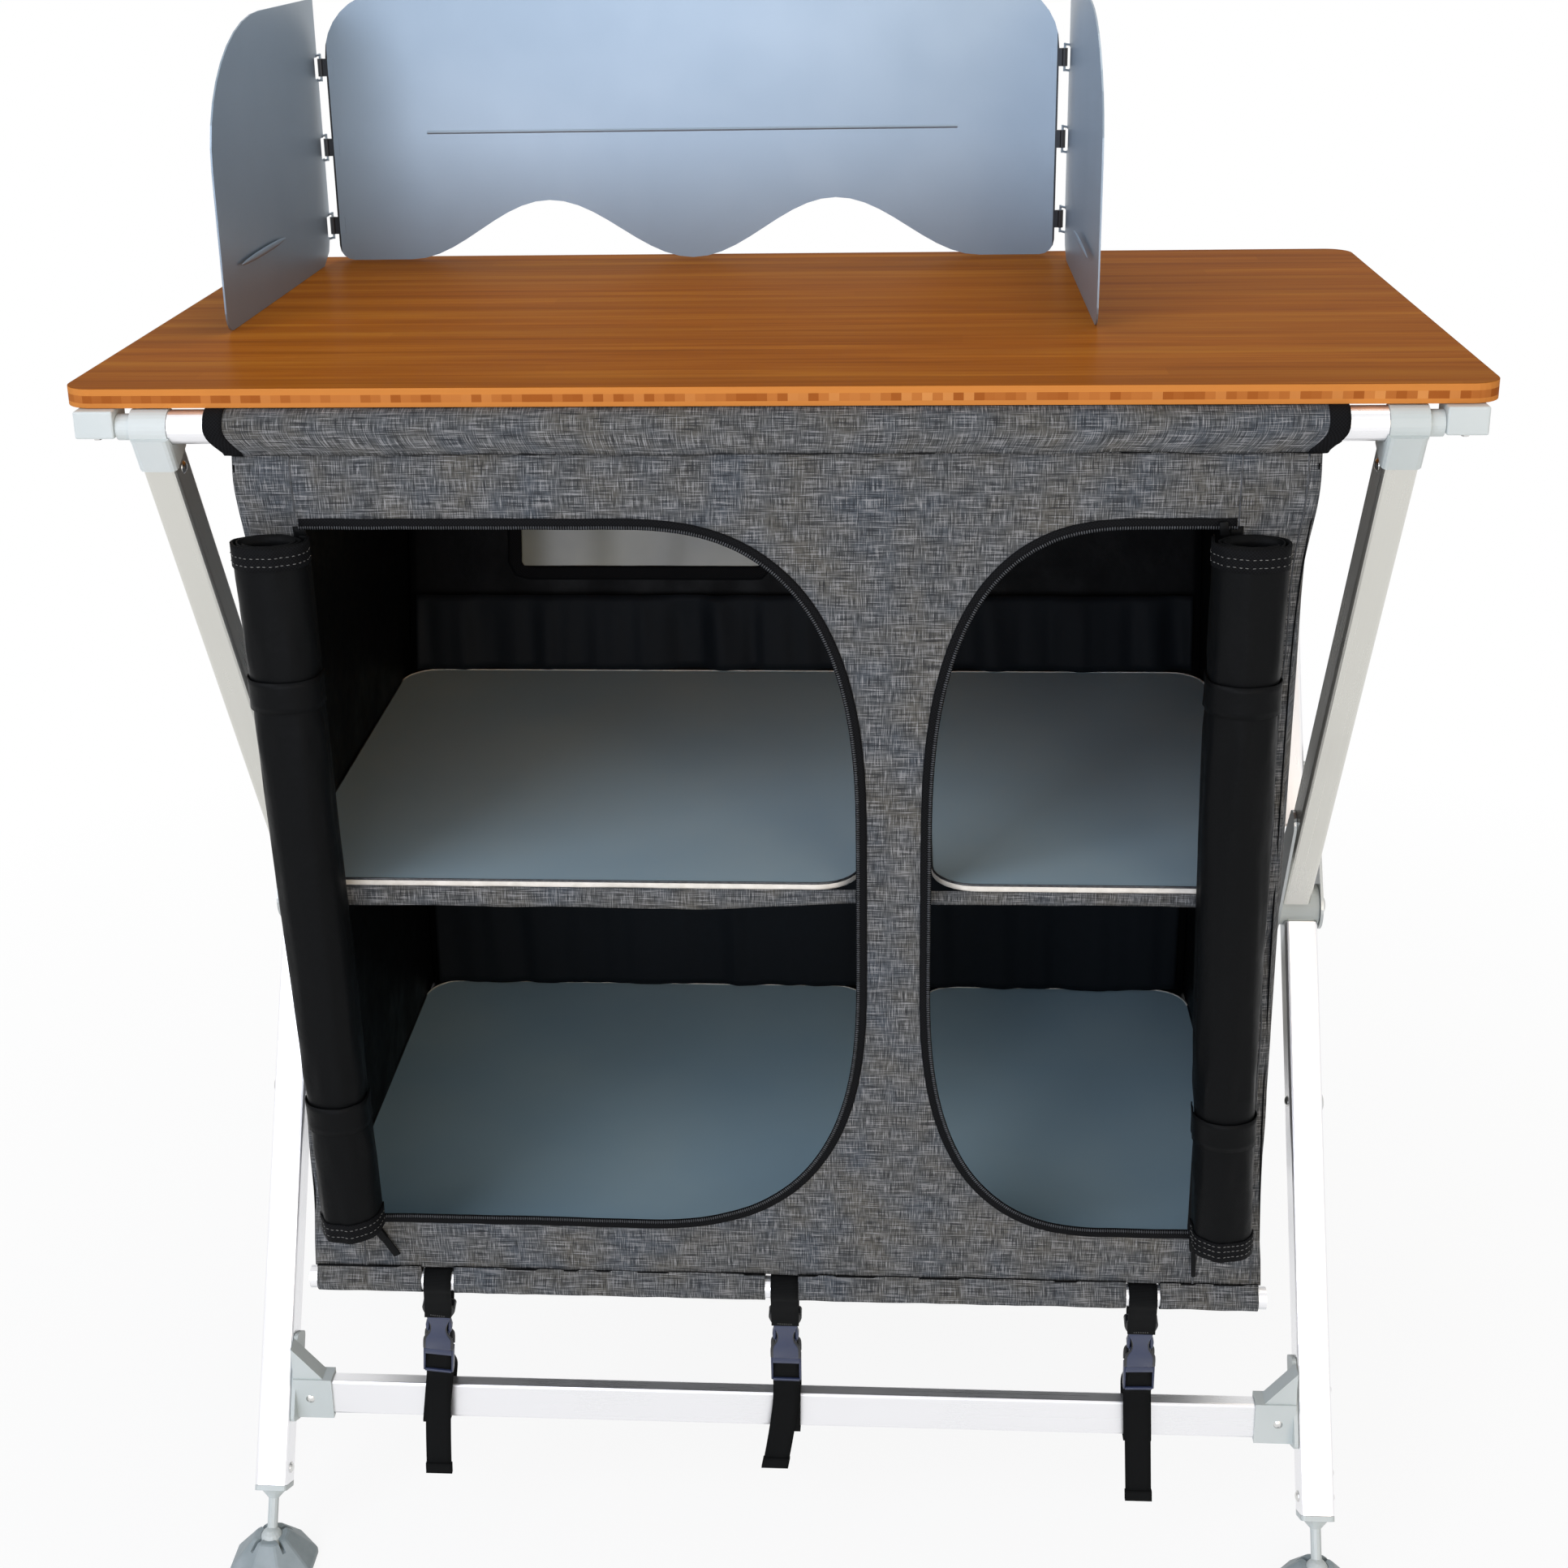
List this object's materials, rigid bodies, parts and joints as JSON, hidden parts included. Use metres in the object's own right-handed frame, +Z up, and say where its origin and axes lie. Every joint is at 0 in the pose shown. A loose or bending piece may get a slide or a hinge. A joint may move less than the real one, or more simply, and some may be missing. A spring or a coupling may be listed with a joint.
{
  "type": "camp kitchen unit",
  "caption": "Folding camp kitchen: bamboo worktop with a hinged windshield on crossed tube legs, over a hanging fabric cupboard with shelves and rolled doors.",
  "frame": {"origin": "centre of the unit's footprint at floor level", "axes": "+Z up, +X along the worktop to the right as seen from the front, +Y from the front to the back"},
  "size_m": [0.9, 0.5666, 1.145],
  "materials": {
    "bamboo": "satin bamboo laminate, grain along the worktop",
    "anodised_tube": "anodised silver tube",
    "pale_plastic": "pale grey-green moulded plastic",
    "sheet_metal": "blue-grey satin sheet",
    "steel": "brushed",
    "grey_fabric": "grey melange canvas, coated inside",
    "black_cloth": "black coated cloth",
    "shelf_board": "slate-coloured laminated board",
    "webbing": "black woven webbing",
    "buckle_plastic": "slate moulded plastic"
  },
  "bodies": {
    "frame_a": {"leg_front_lower_left": "anodised_tube", "leg_front_lower_right": "anodised_tube", "leg_rear_upper_left": "anodised_tube", "leg_rear_upper_right": "anodised_tube", "hub_block_left": "pale_plastic", "hub_block_right": "pale_plastic", "hub_plate_outer_left": "steel", "hub_plate_outer_right": "steel", "top_tube_rear": "anodised_tube", "corner_rear_left": "pale_plastic", "corner_rear_right": "pale_plastic", "rail_front": "anodised_tube", "rail_bracket_front_left": "pale_plastic", "rail_bracket_front_right": "pale_plastic", "foot_stem_front_left": "pale_plastic", "foot_stem_front_right": "pale_plastic", "cupboard_front": "grey_fabric", "cupboard_side_left": "grey_fabric", "cupboard_side_right": "grey_fabric", "cupboard_back": "grey_fabric", "hem_tube": "anodised_tube", "shelf_middle": "shelf_board", "shelf_base": "shelf_board", "door_roll_left": "black_cloth", "door_roll_right": "black_cloth", "strap_socket_left": "webbing", "strap_socket_middle": "webbing", "strap_socket_right": "webbing"},
    "frame_b": {"leg_front_upper_left": "anodised_tube", "leg_front_upper_right": "anodised_tube", "leg_rear_lower_left": "anodised_tube", "leg_rear_lower_right": "anodised_tube", "hub_plate_inner_left": "steel", "hub_plate_inner_right": "steel", "top_tube_front": "anodised_tube", "corner_front_left": "pale_plastic", "corner_front_right": "pale_plastic", "rail_rear": "anodised_tube", "rail_bracket_rear_left": "pale_plastic", "rail_bracket_rear_right": "pale_plastic", "foot_stem_rear_left": "pale_plastic", "foot_stem_rear_right": "pale_plastic", "cupboard_sleeve": "grey_fabric"},
    "worktop": {"worktop": "bamboo", "end_block_left": "pale_plastic", "end_block_right": "pale_plastic", "bearing_collar_left": "pale_plastic", "bearing_collar_right": "pale_plastic", "rear_catch_left": "pale_plastic", "rear_catch_right": "pale_plastic"},
    "windshield": {"windshield_centre": "sheet_metal"},
    "wing_left": {"windshield_wing_left": "sheet_metal"},
    "wing_right": {"windshield_wing_right": "sheet_metal"},
    "foot_front_left": {"foot_pad_front_left": "pale_plastic"},
    "foot_front_right": {"foot_pad_front_right": "pale_plastic"},
    "foot_rear_left": {"foot_pad_rear_left": "pale_plastic"},
    "foot_rear_right": {"foot_pad_rear_right": "pale_plastic"},
    "tongue_left": {"strap_tongue_left": "buckle_plastic"},
    "tongue_middle": {"strap_tongue_middle": "buckle_plastic"},
    "tongue_right": {"strap_tongue_right": "buckle_plastic"}
  },
  "joints": [
    {"name": "frame_fold", "type": "hinge", "parent": "frame_a", "child": "frame_b", "pos_m": [0, 0.01261, 0.4571], "axis": [-1, 0, 0], "range_deg": [0, 32]},
    {"name": "worktop_turn", "type": "hinge", "parent": "frame_b", "child": "worktop", "pos_m": [0, -0.23489, 0.905], "axis": [-1, 0, 0], "range_deg": [-17, 1]},
    {"name": "windshield_lift_off", "type": "slide", "parent": "worktop", "child": "windshield", "axis": [0, 0, 1], "range_m": [0, 0.06]},
    {"name": "wing_left_fold", "type": "hinge", "parent": "windshield", "child": "wing_left", "pos_m": [-0.388, 0.24561, 1.03], "axis": [0, 0, 1], "range_deg": [-90, 90]},
    {"name": "wing_right_fold", "type": "hinge", "parent": "windshield", "child": "wing_right", "pos_m": [0.214, 0.24561, 1.03], "axis": [0, 0, -1], "range_deg": [-90, 90]},
    {"name": "foot_front_left_tilt", "type": "hinge", "parent": "frame_a", "child": "foot_front_left", "pos_m": [-0.397, -0.22671, 0.024], "axis": [1, 0, 0], "range_deg": [-8, 8]},
    {"name": "foot_front_right_tilt", "type": "hinge", "parent": "frame_a", "child": "foot_front_right", "pos_m": [0.397, -0.22671, 0.024], "axis": [1, 0, 0], "range_deg": [-8, 8]},
    {"name": "foot_rear_left_tilt", "type": "hinge", "parent": "frame_b", "child": "foot_rear_left", "pos_m": [-0.3652, 0.25193, 0.024], "axis": [1, 0, 0], "range_deg": [-8, 8]},
    {"name": "foot_rear_right_tilt", "type": "hinge", "parent": "frame_b", "child": "foot_rear_right", "pos_m": [0.3652, 0.25193, 0.024], "axis": [1, 0, 0], "range_deg": [-8, 8]},
    {"name": "buckle_left_release", "type": "slide", "parent": "frame_a", "child": "tongue_left", "axis": [0, 0.3006, -0.9538], "range_m": [0, 0.0135]},
    {"name": "buckle_middle_release", "type": "slide", "parent": "frame_a", "child": "tongue_middle", "axis": [0, 0.3006, -0.9538], "range_m": [0, 0.0135]},
    {"name": "buckle_right_release", "type": "slide", "parent": "frame_a", "child": "tongue_right", "axis": [0, 0.3006, -0.9538], "range_m": [0, 0.0135]}
  ],
  "couplings": [
    {"joint": "worktop_turn", "follows": "frame_fold", "ratio": -0.5}
  ]
}
